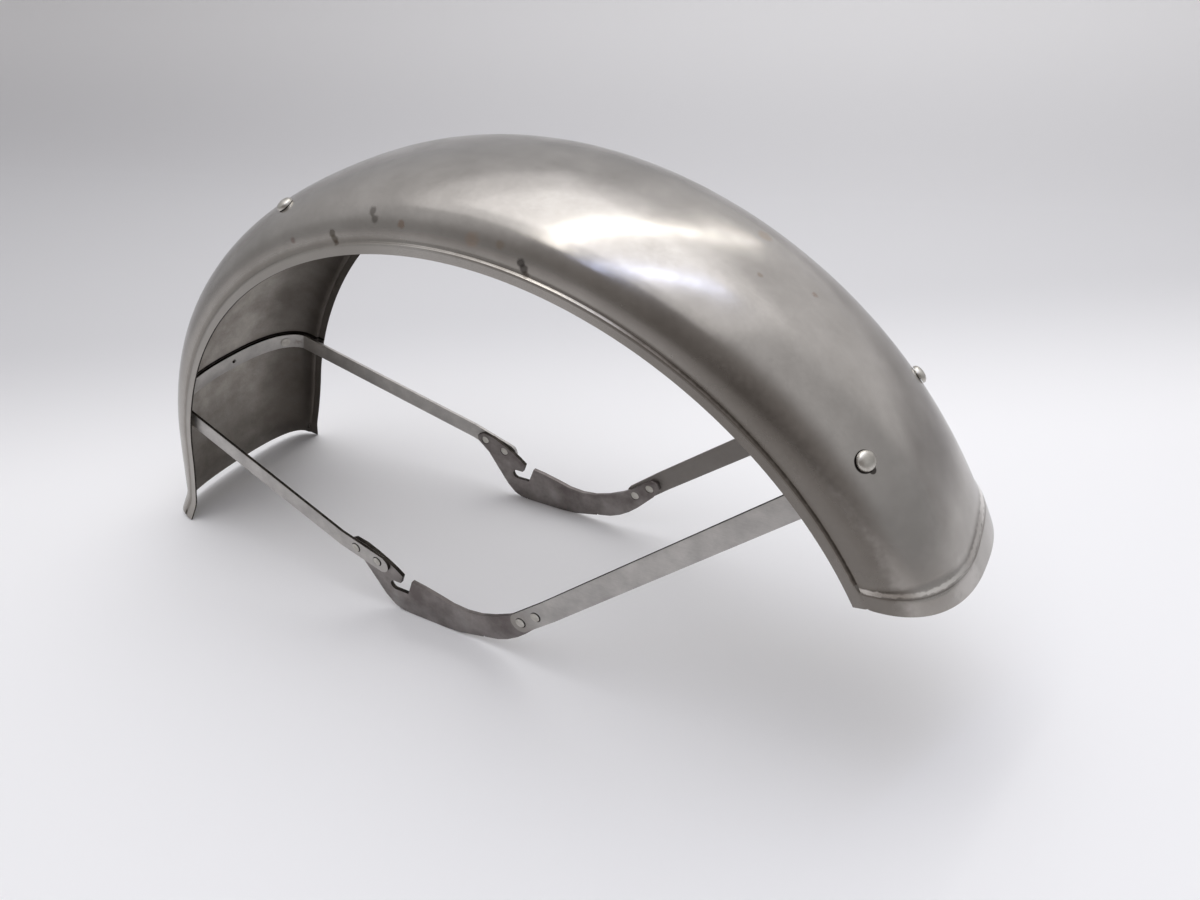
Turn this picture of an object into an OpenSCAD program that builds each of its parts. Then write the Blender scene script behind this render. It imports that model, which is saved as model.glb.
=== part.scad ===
// Motorcycle front mudguard: a pressed steel blade, two flat stays bent into
// loops, two hooked side plates and the rivets that join them.
// X points forward, Z up, Y to the left. Z = 0 is the surface that the rear
// lip and the hooked plates stand on, and X = 0 is the middle of the length.

/* [Blade] */
// Radius of the crown line about the wheel centre
crown_r = 339.6; // [320:0.1:360]
// How far the arc swells over its front half and flattens over its rear half
swell = 2; // [0:0.1:4]
// Angle of the front end at the crown, from the forward direction
front_angle = 23.7; // [18:0.1:30]
// Angle of the rear end at the crown
rear_angle = 177.4; // [170:0.1:178]
// How much later the side edges start than the crown, at the front
front_sweep = 4.5; // [0:0.1:6]
// Half width between the side walls at the front end
wall_front = 66.2; // [60:0.1:72]
// Half width between the side walls at mid length
wall_mid = 72.3; // [66:0.1:76]
// Half width between the side walls at the rear end
wall_rear = 70.3; // [64:0.1:75]
// Drop from the crown to the side crease at the front end
drop_front = 40.6; // [34:0.1:46]
// The same drop at mid length
drop_mid = 35.6; // [30:0.1:42]
// The same drop ahead of the rear taper
drop_rear = 33; // [28:0.1:40]
// How much of that drop the sides lose at the rear end
rear_taper = 15.8; // [0:0.1:17]
// Angle over which the rear taper runs
taper_run = 15; // [8:0.5:25]
// Roundness of the section, 2 is an ellipse and more is squarer
section_power = 2.47; // [2:0.01:3.2]
// Sheet thickness
sheet = 1.2; // [0.8:0.1:2]
// Height of the flared border along each side
border_h = 6.7; // [4:0.1:10]
// How far the border flares outward
border_out = 2.9; // [1:0.1:5]
// Width of the front lip on the right half of the blade
front_lip_len = 16; // [8:0.5:24]
// Width of the front lip on the left half of the blade
front_lip_far = 24; // [8:0.5:30]
// How far the front lip steps out
lip_front = 1.6; // [0:0.1:5]
// Length of the flared lip at the rear end
rear_lip_len = 24; // [8:0.5:30]
// How far the rear lip flares
lip_rear = 5.6; // [0:0.1:8]
// Share of the rear flare that the border's edge takes
rear_edge_flare = 0.8; // [0:0.05:1]

/* [Stays] */
// Strip thickness of both stays
strip_t = 2.5; // [2:0.1:4]
// Strip width of the rear stay
rear_strip_w = 14.3; // [10:0.1:18]
// Slope of the rear stay's legs
rear_slope = 18.6; // [14:0.1:24]
// Distance at which the rear legs' middle line passes over the wheel centre
rear_pass = 22; // [10:0.1:30]
// Strip width of the front stay
front_strip_w = 15.8; // [12:0.1:20]
// Slope of the front stay's legs
front_slope = 39; // [35:0.1:45]
// Distance at which the front legs' middle line passes over the wheel centre
front_pass = 10; // [2:0.1:16]
// Gap between a cross band and the sheet at its tight edge
band_gap = 0.3; // [0.2:0.05:0.8]
// Diameter of the small hole in the rear cross band
band_hole_d = 2.6; // [1.5:0.1:5]
// Distance of that hole from the middle
band_hole_y = 4; // [-20:0.5:20]

/* [Hooked plates] */
// Plate thickness
plate_t = 3; // [2:0.1:5]
// Distance between the plates' outer faces
plate_span = 163.4; // [155:0.1:175]
// Width of the hook slot
slot_w = 8.4; // [6:0.1:10]
// Slot's closed end from the wheel centre, X
slot_x = -75.2; // [-80:0.1:-70]
// Slot's closed end from the wheel centre, Z
slot_z = 32.3; // [28:0.1:36]
// Lean of the slot's mouth from the horizontal
mouth_lean = 66; // [55:1:80]
// Height of the plates' lowest edge above the wheel centre
plate_low = 8.5; // [6:0.1:12]

/* [Rivets] */
// Head diameter of the mushroom rivets
dome_d = 11.4; // [8:0.1:14]
// Head height of the mushroom rivets
dome_h = 3.6; // [2:0.1:5]
// Shank diameter of the mushroom rivets
dome_shank_d = 6; // [4:0.1:7]
// Face diameter of the flush rivets
flush_d = 7.2; // [5:0.1:9]
// Shank diameter of the flush rivets
flush_shank_d = 5; // [3:0.1:6]
// How far the flush rivets' faces lie below the strip
flush_sink = 0.35; // [0:0.05:0.8]
// Head diameter of the rear band's flat rivets
flat_d = 8.4; // [6:0.1:10]
// Head height of the rear band's flat rivets
flat_h = 0.6; // [0.4:0.1:1.5]
// Distance of the front band's rivets from the middle
front_band_y = 49.5; // [35:0.5:52]
// How far they sit behind the strip's middle line
front_rivet_back = 2.4; // [0:0.1:3.5]
// Distance of the rear band's rivets from the middle
rear_band_y = 57; // [40:0.5:59]
// Distance of the crown rivets from the middle
crown_rivet_y = 50; // [35:0.5:55]
// Angle of the crown rivets about the wheel centre
crown_rivet_angle = 113.5; // [100:0.5:125]

/* [Hidden] */
$fn = 48;
steel = [0.50, 0.49, 0.47];
dark_steel = [0.42, 0.40, 0.39];
bright_steel = [0.62, 0.61, 0.59];
fit = 0.05;
eps = 0.01;

// The side corners of the rear end stand at the plates' lowest level.
function crown(a) = crown_r + swell * cos(2.4 * (a - 57));
rear_corner_r = crown(rear_angle) - drop_rear + rear_taper - border_h + lip_rear * rear_edge_flare * 0.35;
rear_sweep = 180 - asin(plate_low / rear_corner_r) - rear_angle;

// Section of the outer skin. Points go from the right border to the left one.
steps = 24;
wall_ts = [for (i = [0 : steps]) -90 + 180 * i / steps];
function three(a, b, c, t) = b + (c - a) / 2 * t + ((a + c) / 2 - b) * t * t;
function run(a, last) = 2 * (a - front_angle) / (last - front_angle) - 1;
function half_w(a) = three(wall_front, wall_mid, wall_rear, run(a, rear_angle));
function drop(a) = three(drop_front, drop_mid, drop_rear, min(run(a, rear_angle - taper_run), 1))
    - rear_taper * pow(max(a - rear_angle + taper_run, 0) / taper_run, 2);
function skin_y(t, a) = sign(t) * half_w(a) * pow(abs(sin(t)), 2 / section_power);
function skin_r(t, a) = crown(a) - drop(a) * (1 - pow(max(cos(t), 0), 2 / section_power));
// The border steps out over a narrow ledge, then runs down almost upright.
ledge_at = 0.16;
ledge_out = 0.62;
function border(a, side) = [
    for (q = side < 0 ? [1, ledge_at] : [ledge_at, 1])
        [side * (half_w(a) + border_out * (q < 1 ? ledge_out : 1)), crown(a) - drop(a) - border_h * q]];
function outer_section(a) = concat(
    border(a, -1),
    [for (t = wall_ts) [skin_y(t, a), skin_r(t, a)]],
    border(a, 1));
count = steps + 5;

// Unit normals of a section, scaled so that an offset keeps the sheet's thickness.
function unit(v) = v / norm(v);
function left_of(v) = [-v[1], v[0]];
function seg_normal(p, i) = left_of(unit(p[i + 1] - p[i]));
function normals(p) = let (n = len(p)) [
    for (i = [0 : n - 1])
        let (a = seg_normal(p, max(i - 1, 0)), b = seg_normal(p, min(i, n - 2)), s = a + b)
        s * 2 / (s * s)];

// The front lip steps out and runs on level. The rear lip bends away and runs straight.
function step_out(x) = ease(x / 0.375);
function lip(x) = x <= 0 ? 0 : x < 0.5 ? x * x / 0.75 : (x - 0.25) / 0.75;
function ease(x) = let (s = min(max(x, 0), 1)) s * s * (3 - 2 * s);
function lip_width(y) = front_lip_len + (front_lip_far - front_lip_len) * ease((y + 25) / 50);
function front_lip_at(a, y) = let (mm = crown_r * PI / 180)
    lip_front * step_out(1 - (a - front_angle) * mm / lip_width(y));
function rear_lip_at(a) = let (mm = crown_r * PI / 180)
    lip_rear * lip(1 - (rear_angle - a) * mm / rear_lip_len);

// One ring of skin points in space, at the crown angle a and depth below the outer skin.
function place(p, a) =
    let (q = (crown(a) - p[1]) / (drop(a) + border_h),
         f = (a - front_angle) / (rear_angle - front_angle),
         at = front_angle + front_sweep * q
            + f * (rear_angle + rear_sweep * q - front_angle - front_sweep * q))
    [p[1] * cos(at), p[0], p[1] * sin(at)];
function ring(a, depth) =
    let (p = outer_section(a), n = normals(p), front = a < 90)
    [for (i = [0 : count - 1])
        // The front lip stands no further out than the border, so the two folds meet in a corner.
        let (k = i == 0 || i == count - 1 ? (front ? 0 : rear_edge_flare)
                 : i == 1 || i == count - 2 ? (front ? 0 : 0.45 + 0.55 * rear_edge_flare) : 1,
             h = front ? front_lip_at(a, p[i][0]) : rear_lip_at(a),
             base = place(p[i], a),
             off = n[i] * (h * k - depth),
             at = atan2(base[2], base[0]))
        base + [off[1] * cos(at), off[0], off[1] * sin(at)]];

front_steps = [0, 0.2, 0.4, 0.48, 0.56, 0.64, 0.72, 0.8, 0.9, 1];
lip_steps = [0, 0.12, 0.25, 0.375, 0.5, 0.625, 0.75, 0.875, 1];
front_lip_angle = max(front_lip_len, front_lip_far) / crown_r * 180 / PI;
rear_lip_angle = rear_lip_len / crown_r * 180 / PI;
mid_steps = 48;
stations = concat(
    [for (s = front_steps) front_angle + s * front_lip_angle],
    [for (i = [1 : mid_steps - 1])
        front_angle + front_lip_angle
            + (rear_angle - front_angle - front_lip_angle - rear_lip_angle) * i / mid_steps],
    [for (s = lip_steps) rear_angle - rear_lip_angle + s * rear_lip_angle]);
rings = [for (a = stations) concat(ring(a, 0), [for (i = [count - 1 : -1 : 0]) ring(a, sheet)[i]])];

// A loft of closed rings with flat ends.
module loft(r) {
    n = len(r[0]);
    m = len(r);
    points = [for (one = r) for (p = one) p];
    sides = [for (j = [0 : m - 2]) for (i = [0 : n - 1])
        let (k = (i + 1) % n)
        [j * n + i, j * n + k, (j + 1) * n + k, (j + 1) * n + i]];
    split = [for (f = sides) for (t = [[f[0], f[1], f[2]], [f[0], f[2], f[3]]]) t];
    half = n / 2;
    caps = [for (i = [0 : half - 2])
        for (t = [[i, n - 1 - i, n - 2 - i], [i, n - 2 - i, i + 1]]) t];
    front = caps;
    rear = [for (t = caps) [for (v = [2 : -1 : 0]) t[v] + (m - 1) * n]];
    polyhedron(points = points, faces = concat(split, front, rear), convexity = 8);
}

// The box of the blade sets the origin.
ring_x = [for (r = rings) for (p = r) p[0]];
mid_x = (min(ring_x) + max(ring_x)) / 2;
module stand() translate([-mid_x, 0, -plate_low]) children();

// Where a rivet sits on the outer skin: the angle, the distance from the middle
// and the lean of the skin there.
function skin_t(y, a) = asin(pow(abs(y) / half_w(a), section_power / 2));
function skin_at(y, a) = skin_r(skin_t(y, a), a);
function lean(y, a) = atan((skin_at(abs(y) - 0.5, a) - skin_at(abs(y) + 0.5, a)));
module on_skin(y, a, turn = 0) {
    rotate([0, -a, 0])
        translate([skin_at(y, a), y, 0])
            rotate([0, 90 - turn, 0])
                rotate([-sign(y) * lean(y, a), 0, 0]) children();
}

// The stays. A leg's frame has its first axis along the leg and its second along Y.
plate_in = plate_span / 2 - plate_t;
leg_y = plate_span / 2 + strip_t / 2;
rear_joint_x = [-105.5, -86.5];
rear_end_past = 10.5;
front_joint_x = [40.7, 54];
front_end_past = front_strip_w / 2;
function along(x, slope, pass) = x / cos(slope) + pass * tan(slope);

// Middle line of a stay, right half, from the free end to the crown: [along, y].
function band_half(a, pass, w, deep) =
    let (p = [for (t = [-76 : 7.6 : 0]) [skin_y(t, a), skin_r(t, a)]],
         n = normals(concat(p, [[-p[len(p) - 2][0], p[len(p) - 2][1]]])))
    [for (i = [0 : len(p) - 1])
        let (q = p[i] - n[i] * deep, top = abs(pass) + w / 2)
        [sqrt(q[1] * q[1] - top * top), q[0]]];
function stay_half(start, bend, a, pass, w) =
    concat([[start, -leg_y], [bend, -leg_y]],
        band_half(a, pass, w, sheet + band_gap + strip_t / 2));
function mirrored(p) = concat(p, [for (i = [len(p) - 2 : -1 : 0]) [p[i][0], -p[i][1]]]);
function thicken(p, t) = let (n = normals(p), c = len(p)) concat(
    [for (i = [0 : c - 1]) p[i] + n[i] * t / 2],
    [for (i = [c - 1 : -1 : 0]) p[i] - n[i] * t / 2]);

// The stay as a solid in its leg's frame, with round free ends.
module stay(start, bend, a, pass, w) {
    path = mirrored(stay_half(start, bend, a, pass, w));
    intersection() {
        translate([0, 0, -w / 2]) linear_extrude(w) polygon(thicken(path, strip_t));
        union() {
            translate([start + w / 2, leg_y + 5, 0]) rotate([90, 0, 0])
                cylinder(d = w, h = 2 * leg_y + 10);
            translate([start + w / 2, -leg_y - 5, -w / 2 - 1])
                cube([crown_r, 2 * leg_y + 10, w + 2]);
        }
    }
}
// Puts a leg's frame in place: dir is 1 for a leg that runs forward.
module leg_frame(slope, pass, dir) {
    mirror([dir < 0 ? 1 : 0, 0, 0]) rotate([0, -slope, 0]) translate([0, 0, pass]) children();
}
module rear_leg() leg_frame(rear_slope, rear_pass, -1) children();
module front_leg() leg_frame(front_slope, front_pass, 1) children();
rear_band_a = 180 - rear_slope - asin(rear_pass / crown_r);
front_band_a = front_slope + asin(front_pass / crown_r);
rear_rivets = [for (x = rear_joint_x) along(-x, rear_slope, rear_pass)];
front_rivets = [for (x = front_joint_x) along(x, front_slope, front_pass)];
rear_start = min(rear_rivets) - rear_end_past;
front_start = min(front_rivets) - front_end_past;

// Flush rivets: joint k of a leg, on one side.
module flush_profile(grow) {
    rise = (flush_d - flush_shank_d) / 2;
    lo = flush_sink;
    hi = strip_t + plate_t - flush_sink;
    polygon([[0, lo - grow], [flush_d / 2 + grow, lo - grow], [flush_d / 2 + grow, lo + 0.2],
        [flush_shank_d / 2 + grow, lo + rise + 0.2], [flush_shank_d / 2 + grow, hi - rise - 0.2],
        [flush_d / 2 + grow, hi - 0.2], [flush_d / 2 + grow, hi + grow], [0, hi + grow]]);
}
module flush_at(x, side) {
    translate([x, side * plate_in, 0]) rotate([-side * 90, 0, 0]) children();
}
module flush_solid() rotate_extrude() flush_profile(0);
module flush_hole() {
    rotate_extrude() flush_profile(fit);
    for (z = [-1, strip_t + plate_t - flush_sink])
        translate([0, 0, z]) cylinder(d = flush_d + 2 * fit, h = 1 + flush_sink);
}
module flush_holes(list) for (x = list, side = [-1, 1]) flush_at(x, side) flush_hole();

// Mushroom rivets, head up, with the skin at Z = 0.
rear_grip = sheet + band_gap + strip_t + 0.9;
front_grip = sheet + band_gap + strip_t + 0.6;
crown_grip = sheet + 0.2;
lift = 0.25;
module dome_profile(grip) {
    ball = (dome_d * dome_d / 4 + dome_h * dome_h) / (2 * dome_h);
    polygon(concat([[0, -grip - 1.2], [dome_d * 0.38, -grip - 1.2], [dome_d * 0.4, -grip - 0.9],
        [dome_d * 0.4, -grip], [dome_shank_d / 2, -grip], [dome_shank_d / 2, lift], [dome_d / 2, lift]],
        [for (q = [1 : 9]) let (t = asin(dome_d / 2 / ball) * (1 - q / 9))
            [ball * sin(t), lift + ball * cos(t) - ball + dome_h]]));
}
module dome(grip) rotate_extrude() dome_profile(grip);
module flat_rivet(grip) rotate_extrude() polygon([[0, lift + flat_h], [flat_d / 2 - 0.3, lift + flat_h],
    [flat_d / 2, lift + flat_h - 0.3], [flat_d / 2, lift], [flush_shank_d / 2, lift],
    [flush_shank_d / 2, -grip], [flat_d / 2, -grip], [flat_d / 2, -grip - flat_h + 0.3],
    [flat_d / 2 - 0.3, -grip - flat_h], [0, -grip - flat_h]]);
module rear_band_rivets(side) on_skin(side * rear_band_y, rear_band_a, rear_turn) children();
module front_band_rivets(side) on_skin(side * front_band_y,
    front_band_a + front_rivet_back / crown_r * 180 / PI, front_turn) children();
module crown_rivets(side) on_skin(side * crown_rivet_y, crown_rivet_angle) children();
rear_turn = asin(rear_pass / crown_r);
front_turn = -asin(front_pass / crown_r);
module shank_hole(grip, d = dome_shank_d) translate([0, 0, -grip - 0.5])
    cylinder(d = d + 2 * fit, h = grip + 3);

// Hooked plate, drawn from the wheel centre and seen from the right side.
plate_top = [[-113, 57.5], [-112.6, 62.5], [-106, 65.9], [-96, 63.6], [-87, 59.2], [-78, 53.9], [-71, 48.9],
    [-65.4, 43.9], [-62.5, 43.2], [-57.2, 42.1], [-46.4, 40.3], [-33.9, 37.4], [-21.8, 34.2],
    [-9.4, 33.3], [3.2, 34.9], [16, 39.2], [28.9, 45.4], [38, 50.9], [48, 59], [56, 64.7], [61.5, 63.8],
    [63, 58]];
plate_bottom = [[58, 50.4], [50, 42.1], [42.5, 34.6], [34.8, 28], [25.7, 22], [16.6, 18], [7.8, 15.9],
    [5, 15.4], [4.2, 16.2], [3.4, 14.7], [-5, 12.6], [-18, plate_low + 1.1], [-30.4, plate_low + 0.1],
    [-34, plate_low], [-62, plate_low], [-66.6, plate_low + 0.1], [-67.3, plate_low + 1],
    [-68, plate_low + 0.2], [-73.6, plate_low + 0.9], [-79.7, 12], [-86.4, 19.4], [-91.8, 28.6],
    [-97.6, 38.6], [-103.2, 47.9]];
module plate_outline() {
    difference() {
        polygon(concat(plate_top, plate_bottom));
        translate([slot_x, slot_z]) {
            circle(d = slot_w);
            translate([0, -slot_w / 2]) square([slot_reach, slot_w]);
            polygon([[slot_reach, -slot_w / 2], [slot_reach + mouth_run, -slot_w / 2 + mouth_rise],
                [slot_reach + mouth_run - mouth_gap, -slot_w / 2 + mouth_rise],
                [slot_reach - mouth_gap, -slot_w / 2]]);
        }
    }
}
slot_reach = 11.7;
mouth_rise = 24;
mouth_run = mouth_rise / tan(mouth_lean);
mouth_gap = slot_w / sin(mouth_lean);
module hook_plate(side) {
    difference() {
        translate([0, side * (plate_in + plate_t / 2), 0]) rotate([90, 0, 0])
            linear_extrude(plate_t, center = true) plate_outline();
        rear_leg() flush_holes(rear_rivets);
        front_leg() flush_holes(front_rivets);
    }
}

module guard_blade() color(steel) stand() difference() {
    loft(rings);
    for (side = [-1, 1]) {
        rear_band_rivets(side) shank_hole(rear_grip, flush_shank_d);
        front_band_rivets(side) shank_hole(front_grip);
        crown_rivets(side) shank_hole(crown_grip);
    }
}
module rear_stay() color(bright_steel) stand() difference() {
    rear_leg() difference() {
        stay(rear_start, max(rear_rivets) + 14, rear_band_a, rear_pass, rear_strip_w);
        flush_holes(rear_rivets);
        translate([crown_r - 40, band_hole_y, 0]) rotate([0, 90, 0]) cylinder(d = band_hole_d, h = 60);
    }
    for (side = [-1, 1]) rear_band_rivets(side) shank_hole(rear_grip, flush_shank_d);
}
module front_stay() color(bright_steel) stand() difference() {
    front_leg() difference() {
        stay(front_start, max(front_rivets) + 14, front_band_a, front_pass, front_strip_w);
        flush_holes(front_rivets);
    }
    for (side = [-1, 1]) front_band_rivets(side) shank_hole(front_grip);
}
module right_hook_plate() color(dark_steel) stand() hook_plate(-1);
module left_hook_plate() color(dark_steel) stand() hook_plate(1);
module rear_joint_rivet(k, side) color(steel) stand() rear_leg() flush_at(rear_rivets[k], side) flush_solid();
module front_joint_rivet(k, side) color(steel) stand() front_leg() flush_at(front_rivets[k], side) flush_solid();
module right_rear_joint_rivet_outer() rear_joint_rivet(0, -1);
module right_rear_joint_rivet_inner() rear_joint_rivet(1, -1);
module left_rear_joint_rivet_outer() rear_joint_rivet(0, 1);
module left_rear_joint_rivet_inner() rear_joint_rivet(1, 1);
module right_front_joint_rivet_inner() front_joint_rivet(0, -1);
module right_front_joint_rivet_outer() front_joint_rivet(1, -1);
module left_front_joint_rivet_inner() front_joint_rivet(0, 1);
module left_front_joint_rivet_outer() front_joint_rivet(1, 1);
module right_front_band_rivet() color(bright_steel) stand() front_band_rivets(-1) dome(front_grip);
module left_front_band_rivet() color(bright_steel) stand() front_band_rivets(1) dome(front_grip);
module right_rear_band_rivet() color(steel) stand() rear_band_rivets(-1) flat_rivet(rear_grip);
module left_rear_band_rivet() color(steel) stand() rear_band_rivets(1) flat_rivet(rear_grip);
module right_crown_rivet() color(bright_steel) stand() crown_rivets(-1) dome(crown_grip);
module left_crown_rivet() color(bright_steel) stand() crown_rivets(1) dome(crown_grip);

guard_blade();
rear_stay();
front_stay();
right_hook_plate();
left_hook_plate();
right_rear_joint_rivet_outer();
right_rear_joint_rivet_inner();
left_rear_joint_rivet_outer();
left_rear_joint_rivet_inner();
right_front_joint_rivet_inner();
right_front_joint_rivet_outer();
left_front_joint_rivet_inner();
left_front_joint_rivet_outer();
right_front_band_rivet();
left_front_band_rivet();
right_rear_band_rivet();
left_rear_band_rivet();
right_crown_rivet();
left_crown_rivet();
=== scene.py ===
import math
import bpy
import bmesh
from mathutils import Matrix, Vector


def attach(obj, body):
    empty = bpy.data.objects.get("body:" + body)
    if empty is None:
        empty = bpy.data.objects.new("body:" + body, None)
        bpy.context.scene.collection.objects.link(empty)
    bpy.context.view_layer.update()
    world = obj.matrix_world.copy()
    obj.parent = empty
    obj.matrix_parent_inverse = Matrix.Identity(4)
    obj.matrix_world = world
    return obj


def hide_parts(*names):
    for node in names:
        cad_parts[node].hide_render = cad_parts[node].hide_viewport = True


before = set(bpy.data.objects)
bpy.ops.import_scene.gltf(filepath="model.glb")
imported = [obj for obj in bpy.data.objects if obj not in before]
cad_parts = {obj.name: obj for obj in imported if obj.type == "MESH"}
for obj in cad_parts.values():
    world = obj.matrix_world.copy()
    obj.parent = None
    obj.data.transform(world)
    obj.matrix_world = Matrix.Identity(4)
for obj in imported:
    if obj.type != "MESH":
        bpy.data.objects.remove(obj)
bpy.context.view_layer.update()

scene = bpy.context.scene
mm = 0.001
lowestFloor = -0.0004  # just under the lowest point, so that no faces fight


def toLinear(code):
    # sRGB hex to linear colour
    channels = [int(code[i:i + 2], 16) / 255 for i in (1, 3, 5)]
    return [c / 12.92 if c <= 0.04045 else ((c + 0.055) / 1.055) ** 2.4 for c in channels] + [1.0]


def addNode(tree, kind, settings=None, links=None):
    # one node; a link's value is a socket, a node for its first output, or a plain value
    node = tree.nodes.new(kind)
    for name, value in (settings or {}).items():
        setattr(node, name, value)
    for name, source in (links or {}).items():
        if isinstance(source, bpy.types.Node):
            source = source.outputs[0]
        if isinstance(source, bpy.types.NodeSocket):
            tree.links.new(source, node.inputs[name])
        else:
            node.inputs[name].default_value = source
    return node


def followRule(tree, kind, known, rows):
    # a table of (result, operation, operands); an operand is a known name or a number
    for result, operation, *operands in rows:
        links = {i: known[o] if isinstance(o, str) else o for i, o in enumerate(operands)}
        known[result] = addNode(tree, kind, {"operation": operation}, links)
    return known


def startTree(name, sizes):
    # a geometry tree with one named input for each size
    tree = bpy.data.node_groups.new(name, "GeometryNodeTree")
    tree.interface.new_socket(name="Geometry", in_out="INPUT", socket_type="NodeSocketGeometry")
    tree.interface.new_socket(name="Geometry", in_out="OUTPUT", socket_type="NodeSocketGeometry")
    sockets = {}
    for label, value in sizes.items():
        kind = "NodeSocketInt" if isinstance(value, int) else "NodeSocketFloat"
        socket = tree.interface.new_socket(name=label, in_out="INPUT", socket_type=kind)
        socket.default_value = value
        sockets[label] = socket.identifier
    entry = tree.nodes.new("NodeGroupInput")
    return tree, entry, sockets


def endTree(tree, geometry, material):
    whole = addNode(tree, "GeometryNodeRealizeInstances", None, {"Geometry": geometry})
    dressed = addNode(tree, "GeometryNodeSetMaterial", None,
                      {"Geometry": whole, "Material": material})
    addNode(tree, "NodeGroupOutput", None, {0: dressed})


def addObject(name, data):
    thing = bpy.data.objects.new(name, data)
    scene.collection.objects.link(thing)
    return thing


def settle(thing, name):
    # the evaluated shape as a plain mesh at the origin; the worked object goes
    bpy.context.view_layer.update()
    graph = bpy.context.evaluated_depsgraph_get()
    mesh = bpy.data.meshes.new_from_object(thing.evaluated_get(graph))
    mesh.transform(thing.matrix_world)
    bpy.data.objects.remove(thing)
    mesh.name = name
    return addObject(name, mesh)


def grow(tree, sockets, sizes, host, name):
    # runs a tree on a host object and settles the result
    modifier = host.modifiers.new("shape", "NODES")
    modifier.node_group = tree
    for label, value in sizes.items():
        modifier[sockets[label]] = value
    return settle(host, name)


def softShade(piece, degrees):
    piece.data.polygons.foreach_set("use_smooth", [True] * len(piece.data.polygons))
    piece.data.set_sharp_from_angle(angle=math.radians(degrees))
    piece.data.update()


steelNoise = {  # the parts of each noise's range in use, and lengths in millimetres
    "streak": (0.3, 0.7), "wear": (0.32, 0.68), "ragged": 3.5, "grainDepth": 0.03}


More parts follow.
